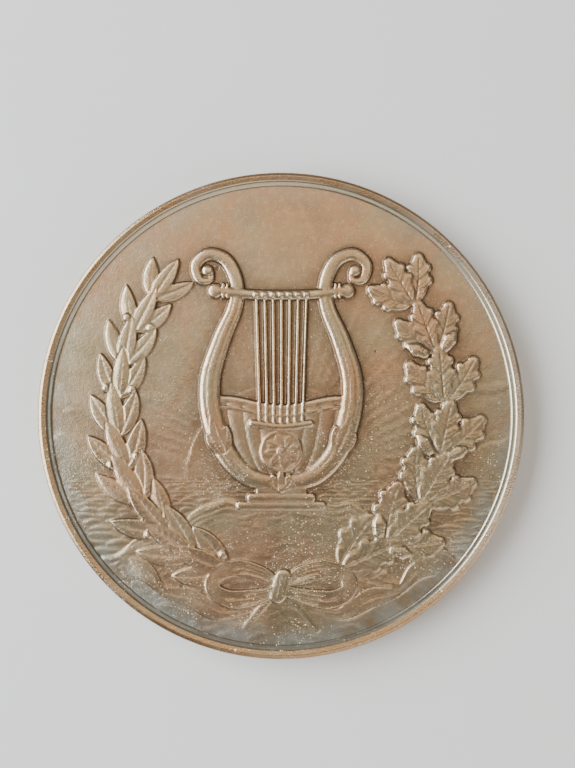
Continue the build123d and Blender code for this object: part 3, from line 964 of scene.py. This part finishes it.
def medal_mesh():
    """One closed skin: the relief's triangles, rings of quads down to the rim of
    the reverse, and the flat field of the reverse."""
    layers = [relief, *slopes()]
    # Places below their surroundings are painted darker, partly dirt and partly painted shade; places above
    # them are rubbed paler
    layers += [relief - blurred(relief, reach / grid_pitch) for reach in (wear_reach, hollow_reach)]

    def on_relief(points):
        """Places, directions, wear and hollow on the relief; the last two also drive painted shade."""
        column, row = ((points[:, k] - grid_start) / grid_pitch for k in (0, 1))
        height, across, up, worn_and_shaded, sunk_and_shaded = (sampled(layer, column, row) for layer in layers)
        return np.column_stack([points, obverse_level + height]), normals_of(across, up), worn_and_shaded, sunk_and_shaded

    angles = np.linspace(0, 2 * math.pi, ring_segments, endpoint=False)
    spokes = np.stack([np.cos(angles), np.sin(angles)], 1)
    flat_points = [Vector(p) for p in np.vstack([last_relief_ring * spokes, relief_points()])]
    found, _, triangles, origins, _, _ = delaunay_2d_cdt(flat_points, [], [], 0, same_point, True)
    where = {origin: k for k, group in enumerate(origins) for origin in group}
    skin = [on_relief(np.array(found))]
    faces = list(triangles)

    before = np.array([where[k] for k in range(ring_segments)])
    for radius, up, faces_out, faces_up, bend in flan_line[1:]:
        ring = radius * spokes
        level = np.full(ring_segments, up)
        direction = np.column_stack([faces_out * spokes, np.full(ring_segments, faces_up)])
        # Convex rows are rubbed paler; concave rows are painted darker, partly dirt and partly painted
        # shade
        worn_and_shaded = np.full(ring_segments, edge_wear if bend > 0 else corner_dirt_and_shade * bend)
        if faces_up > least_faces_up and radius < rim_inner_radius:
            relieved, normals, rough, _ = on_relief(ring)
            over = relieved[:, 2] > up + relief_over_rim
            level[over] = relieved[over, 2]
            direction[over] = normals[over]
            worn_and_shaded[over] = rough[over]
        here = sum(len(places) for places, *_ in skin) + np.arange(ring_segments)
        faces += zip(before, here, np.roll(here, -1), np.roll(before, -1))
        before = here
        skin.append((np.column_stack([ring, level]), direction, worn_and_shaded, np.zeros(ring_segments)))
    faces.append(before[::-1])

    places, normals, wear_and_shade, hollow_and_shade = (np.concatenate(part) for part in zip(*skin))
    mesh = bpy.data.meshes.new("medal_struck")
    faces = [tuple(int(v) for v in face) for face in faces]
    mesh.from_pydata((places * MM).tolist(), [], faces)
    mesh.polygons.foreach_set("use_smooth", np.ones(len(faces), bool))
    normals /= np.linalg.norm(normals, axis=1)[:, None]
    mesh.normals_split_custom_set_from_vertices(normals.tolist())
    for name, values in (("wear_and_shade", wear_and_shade), ("hollow_and_shade", hollow_and_shade)):
        layer = mesh.attributes.new(name, "FLOAT", "POINT")
        layer.data.foreach_set("value", values.astype(np.float32))
    mesh.update()
    return mesh


strike()
medal = bpy.data.objects.new("medal_struck", medal_mesh())
bpy.context.scene.collection.objects.link(medal)
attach(medal, "root")
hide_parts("medal")


# The metal


class Nodes:
    """Short names for a material's nodes and links."""

    def __init__(self, name):
        self.material = bpy.data.materials.new(name)
        self.material.use_nodes = True
        self.tree = self.material.node_tree
        self.shader = self.tree.nodes["Principled BSDF"]
        self.place = self.add("ShaderNodeTexCoord").outputs["Object"]

    def add(self, kind, inputs=(), **settings):
        """A new node, its settings made and some of its inputs linked or set."""
        node = self.tree.nodes.new(kind)
        for name, value in settings.items():
            setattr(node, name, value)
        for name, value in dict(inputs).items():
            self.link(value, node.inputs[name])
        return node

    def link(self, value, socket):
        """Links a value to a socket, or sets a number or a colour there."""
        if isinstance(value, bpy.types.NodeSocket):
            self.tree.links.new(value, socket)
        else:
            socket.default_value = (*value, 1) if isinstance(value, tuple) else value

    def math(self, operation, a, b=0.0, clamp=False):
        return self.add("ShaderNodeMath", {0: a, 1: b}, operation=operation, use_clamp=clamp).outputs[0]

    def plus(self, a, b, clamp=False):
        return self.math("ADD", a, b, clamp)

    def less(self, a, b):
        return self.math("SUBTRACT", a, b)

    def times(self, a, b):
        return self.math("MULTIPLY", a, b)

    def greater(self, a, b):
        return self.math("MAXIMUM", a, b)

    def length(self, a, b):
        return self.math("SQRT", self.plus(self.times(a, a), self.times(b, b)))

    def ranged(self, value, low, high, to_low=0.0, to_high=1.0):
        """A smooth step, from to_low at low to to_high at high."""
        inputs = enumerate((value, low, high, to_low, to_high))
        return self.add("ShaderNodeMapRange", inputs, interpolation_type="SMOOTHSTEP").outputs[0]

    def mixed(self, share, a, b):
        """Two colours mixed."""
        return self.add("ShaderNodeMix", {0: share, 6: a, 7: b}, data_type="RGBA").outputs[2]

    def layered(self, colour, layers):
        """A colour under others, each as strong as a step of some value."""
        for value, step, over in layers:
            colour = self.mixed(self.ranged(value, *step), colour, over)
        return colour

    def attribute(self, name):
        return self.add("ShaderNodeAttribute", attribute_name=name).outputs["Fac"]

    def noise(self, feature, detail=2.0, distortion=0.0):
        """Noise from 0 to 1 whose features are about this many metres."""
        inputs = {"Vector": self.place, "Scale": 1 / feature, "Detail": detail, "Distortion": distortion}
        return self.add("ShaderNodeTexNoise", inputs).outputs[0]

    def cells(self, size):
        """Scattered points this many metres apart: how far the nearest is, as a
        share of that, and a random number of its own."""
        node = self.add("ShaderNodeTexVoronoi", {"Vector": self.place, "Scale": 1 / size}, feature="F1")
        chance = self.add("ShaderNodeSeparateColor", {0: node.outputs["Color"]})
        return node.outputs["Distance"], chance.outputs[0]

    def bump(self, value, distance, normal=None):
        node = self.add("ShaderNodeBump", {"Distance": distance, "Height": value})
        if normal is not None:
            self.link(normal, node.inputs["Normal"])
        return node.outputs[0]


def zone(radius, first, last):
    """Two radii of the flan, from their distances beyond one in millimetres."""
    return (radius + first) * MM, (radius + last) * MM


FIELD_END = zone(field_radius, 0.04, 0.34)
LEDGE_START = zone(field_radius, -0.16, 0.04)
LEDGE_END = zone(ledge_outer_radius, 0.07, 0.27)
LAND_START = zone(rim_inner_radius, -0.20, 0.10)
LAND_FOOT = zone(medal_radius, -0.55, -0.35)
BLOOM_AND_SHEEN_START = zone(field_radius, -3.66, -0.36)

BROWN = (0.416, 0.262, 0.152)
OLIVE = (0.379, 0.302, 0.184)
DARK_BROWN = (0.31, 0.222, 0.130)
PALE_BROWN = (0.56, 0.41, 0.26)
# Partly patina and partly a painted cool sheen, by the rim and on the ledge
BLOOM_AND_SHEEN = (0.348, 0.364, 0.322)
# Partly dirt and partly painted shade, in hollows and in concave corners
HOLLOW_DIRT_AND_SHADE = (0.17, 0.110, 0.068)
CORNER_DIRT_AND_SHADE = (0.13, 0.085, 0.055)
RUBBED = (0.70, 0.54, 0.36)
PIT = (0.09, 0.06, 0.04)
GLINT = (0.72, 0.60, 0.44)
DUST_LOW = (0.92, 0.70, 0.42)
DUST_HIGH = (0.84, 0.71, 0.54)
KNOCK = (0.86, 0.66, 0.48)
LAND_BROWN = (0.50, 0.325, 0.180)
LAND_DULL = (0.42, 0.300, 0.190)
# Painted reflection: the land paler and greyer at the right
LAND_RIGHT_SHEEN = (0.605, 0.515, 0.395)
# Painted shade: the land darker at the left
LAND_LEFT_SHADE = (0.36, 0.268, 0.160)
LAND_LOW = (0.455, 0.312, 0.170)
# Painted shade: the outer edge darker low down
LAND_EDGE_SHADE = (0.26, 0.150, 0.070)

# Of each kind of speck: its spacing, how far it likes dusty places, the step of
# its chance, its radius and raggedness as shares of the spacing, and the step
# over its edge
PITS = (0.0045, 0, (0.72, 1.0), 0.085, 0, (0.0, 0.03, 0.0, 0.7))
GLINTS = (0.00021, 0.25, (0.66, 1.10), 0.46, 0, (-0.12, 0.12, 0.0, 0.42))
DUST = (0.00029, 0.42, (0.72, 1.26), 0.45, 0.44, (-0.15, 0.10, 0.0, 0.75))
GRIT = (0.00085, 0.30, (0.58, 1.25), 0.19, 0.10, (-0.04, 0.04, 0.0, 0.9))

# Of each small knock of the rim: its angle and its distance from the edge, and
# its half length across the rim and half width along it
KNOCKS = [
    (167.9, 0.80, 0.50, 0.13),
    (44.4, 0.85, 0.26, 0.20),
    (-48.5, 1.05, 0.30, 0.16),
    (-101.0, 0.70, 0.22, 0.20),
]


class Metal(Nodes):
    """The bronze's nodes, with the places and noises that its layers share."""

    def __init__(self):
        super().__init__("patinated_bronze")
        self.x, self.y, _ = self.add("ShaderNodeSeparateXYZ", {0: self.place}).outputs
        self.reach = self.length(self.x, self.y)
        self.wear_and_shade = self.attribute("wear_and_shade")
        self.blotch = self.noise(0.0034, 4.0)
        self.mottle = self.noise(0.0009, 3.0)
        self.grain = self.noise(0.00020, 2.0)
        on_ledge = self.ranged(self.reach, *LEDGE_START)
        self.ledge = self.times(on_ledge, self.ranged(self.reach, *LEDGE_END, 1, 0))
        dusty = self.ranged(self.noise(0.0065), 0.36, 0.66)
        self.dusty = self.times(dusty, self.ranged(self.y, 0.026, -0.022, 0.15, 1))

    def specks(self, kind):
        """Scattered specks, 1 in their middle."""
        spacing, liking, chances, radius, ragged, edge = kind
        distance, chance = self.cells(spacing)
        if liking:
            chance = self.plus(chance, self.times(self.dusty, liking))
        if ragged:
            distance = self.plus(distance, self.times(self.grain, ragged))
        return self.ranged(self.less(self.times(self.ranged(chance, *chances), radius), distance), *edge)

    def knocks(self):
        """Small bright knocks of the rim, 1 in their middle."""
        found = 0.0
        for turn, inset, half_length, half_width in KNOCKS:
            over, up = (float(part) for part in from_angle(math.radians(turn), 1))
            outward = self.plus(self.times(self.x, over), self.times(self.y, up))
            outward = self.less(outward, (medal_radius - inset) * MM)
            aside = self.less(self.times(self.y, over), self.times(self.x, up))
            outward = self.math("DIVIDE", outward, half_length * MM)
            aside = self.math("DIVIDE", aside, half_width * MM)
            away = self.plus(self.length(outward, aside), self.times(self.mottle, 0.8))
            found = self.greater(self.ranged(away, 0.9, 1.5, 1.0, 0.0), found)
        return found


def patina(n):
    """The colour of field and relief: brown and olive patches, a pale bloom by
    the rim and on the ledge that is partly patina and partly a painted cool sheen,
    hollows and concave corners painted darker as dirt and painted shade, and
    rubbed high edges."""
    colour = n.layered(
        n.mixed(n.ranged(n.noise(0.013, 3.0, 0.8), 0.38, 0.64), BROWN, OLIVE),
        [
            (n.blotch, (0.42, 0.75, 0.0, 0.50), DARK_BROWN),
            (n.mottle, (0.45, 0.8, 0.0, 0.36), PALE_BROWN),
        ],
    )
    # Painted sheen: a pale cool bloom by the rim and on the ledge, stronger low down, partly patina and
    # partly a painted reflection
    bloom_and_sheen = n.times(n.ranged(n.reach, *BLOOM_AND_SHEEN_START), n.ranged(n.blotch, 0.30, 0.60, 0.15, 0.75))
    bloom_and_sheen = n.times(bloom_and_sheen, n.ranged(n.y, 0.020, -0.020, 0.25, 1.0))
    bloom_and_sheen = n.times(bloom_and_sheen, n.ranged(n.reach, *FIELD_END, 1.0, 0.0))
    colour = n.mixed(n.greater(bloom_and_sheen, n.times(n.ledge, 0.7)), colour, BLOOM_AND_SHEEN)
    # Hollows painted darker, partly dirt and partly painted shade
    sunk_and_shaded = n.plus(n.attribute("hollow_and_shade"), n.times(n.mottle, 0.04))
    rubbed = n.plus(n.wear_and_shade, n.times(n.grain, 0.02))
    return n.layered(
        colour,
        [
            (sunk_and_shaded, (-0.22, 0.010, 0.60, 0.0), HOLLOW_DIRT_AND_SHADE),
            # Concave corners painted darker, partly dirt and partly painted shade
            (n.wear_and_shade, (-0.105, -0.010, 0.50, 0.0), CORNER_DIRT_AND_SHADE),
            (rubbed, (0.022, 0.10, 0.0, 0.65), RUBBED),
        ],
    )


def land_colour(n):
    """The colour of the rim's land: paler at the right as a painted reflection,
    and darker at the left and at the outer edge low down as painted shade."""
    land = n.layered(
        n.mixed(n.ranged(n.blotch, 0.35, 0.7), LAND_BROWN, LAND_DULL),
        [
            # Painted reflection, paler at the right
            (n.x, (0.014, 0.030, 0.0, 0.8), LAND_RIGHT_SHEEN),
            # Painted shade, darker at the left
            (n.x, (-0.014, -0.030, 0.0, 0.65), LAND_LEFT_SHADE),
            (n.y, (-0.018, -0.032, 0.0, 0.6), LAND_LOW),
        ],
    )
    # Painted shade on the outer edge low down
    edge = n.times(n.ranged(n.reach, *LAND_FOOT), n.ranged(n.y, -0.006, -0.024, 0.0, 0.55))
    return n.mixed(edge, land, LAND_EDGE_SHADE)


def bronze():
    """Patinated bronze with pits, glints, dust and grit, and knocks of the rim."""
    n = Metal()
    pits = n.specks(PITS)
    dust = n.greater(n.specks(DUST), n.specks(GRIT))
    knocks = n.knocks()
    colour = n.mixed(n.ranged(n.reach, *LAND_START), patina(n), land_colour(n))
    colour = n.mixed(pits, colour, PIT)
    colour = n.mixed(n.specks(GLINTS), colour, GLINT)
    colour = n.mixed(dust, colour, n.mixed(n.ranged(n.y, -0.020, 0.010), DUST_LOW, DUST_HIGH))
    colour = n.mixed(knocks, colour, KNOCK)
    n.link(colour, n.shader.inputs["Base Color"])

    rough = n.ranged(n.blotch, 0.3, 0.75, 0.30, 0.40)
    rough = n.plus(rough, n.ranged(n.wear_and_shade, -0.07, 0.07, 0.08, -0.08))
    rough = n.plus(rough, n.times(dust, 0.15), True)
    n.link(rough, n.shader.inputs["Roughness"])
    n.link(n.less(0.95, n.times(dust, 0.62)), n.shader.inputs["Metallic"])

    calm = n.less(1.0, n.times(n.ledge, 0.85))
    normal = None
    bumps = [(n.noise(0.0016, 3.0), 0.000030), (n.noise(0.0005), 0.000022), (n.grain, 0.000026)]
    for height, distance in bumps:
        normal = n.bump(n.times(n.less(height, 0.5), calm), distance, normal)
    normal = n.bump(n.less(dust, pits), 0.00006, normal)
    normal = n.bump(n.less(1.0, knocks), 0.00008, normal)
    n.link(normal, n.shader.inputs["Normal"])
    return n.material


medal.data.materials.append(bronze())


# The stage, the light and the camera

floor_size = 3.0
FLOOR_PALE = (0.74, 0.735, 0.72)
FLOOR_PALER = (0.78, 0.775, 0.76)

# Of each light: name, place, size, power, colour
LIGHTS = [
    ("window", (-0.52, 0.10, 0.42), (0.78, 0.48), 12.0, (0.88, 0.94, 1.0)),
    ("warm_top", (0.04, 0.22, 0.60), (0.50, 0.36), 0.92, (1.0, 0.80, 0.58)),
    ("fill", (0.30, -0.46, 0.34), (0.9, 0.6), 2.6, (1.0, 0.95, 0.88)),
]
light_target = Vector((0, 0, 0.003))
world_colour = (0.80, 0.80, 0.80, 1)
world_strength = 0.26

camera_lens = 41.1
camera_distance = 0.125
camera_near = 0.005
camera_tilt = math.radians(85.6)  # above the horizon, from the foot of the design
camera_target = Vector((0.00087, 0.00391, 0.0025))


def stage():
    bpy.ops.mesh.primitive_plane_add(size=floor_size)
    floor = bpy.context.object
    floor.name = "floor"
    n = Nodes("pale_floor")
    n.link(n.mixed(n.noise(0.02, 4.0), FLOOR_PALE, FLOOR_PALER), n.shader.inputs["Base Color"])
    n.shader.inputs["Roughness"].default_value = 0.85
    floor.data.materials.append(n.material)


def area_light(name, place, size, power, colour):
    light = bpy.data.lights.new(name, "AREA")
    light.shape = "RECTANGLE"
    light.size, light.size_y = size
    light.energy = power
    light.color = colour
    lamp = bpy.data.objects.new(name, light)
    lamp.location = place
    aim(lamp, light_target - Vector(place))


def aim(thing, direction):
    """Turns a lamp or a camera to look in a direction, and adds it."""
    thing.rotation_mode = "QUATERNION"
    thing.rotation_quaternion = direction.to_track_quat("-Z", "Y")
    bpy.context.scene.collection.objects.link(thing)


def studio():
    for light in LIGHTS:
        area_light(*light)
    world = bpy.data.worlds.new("pale")
    world.use_nodes = True
    background = world.node_tree.nodes["Background"]
    background.inputs[0].default_value = world_colour
    background.inputs[1].default_value = world_strength
    bpy.context.scene.world = world


def camera():
    eye = bpy.data.objects.new("camera", bpy.data.cameras.new("camera"))
    eye.data.lens = camera_lens
    eye.data.clip_start = camera_near
    back = Vector((0, -math.cos(camera_tilt), math.sin(camera_tilt)))
    eye.location = camera_target + back * camera_distance
    aim(eye, -back)
    bpy.context.scene.camera = eye


stage()
studio()
camera()
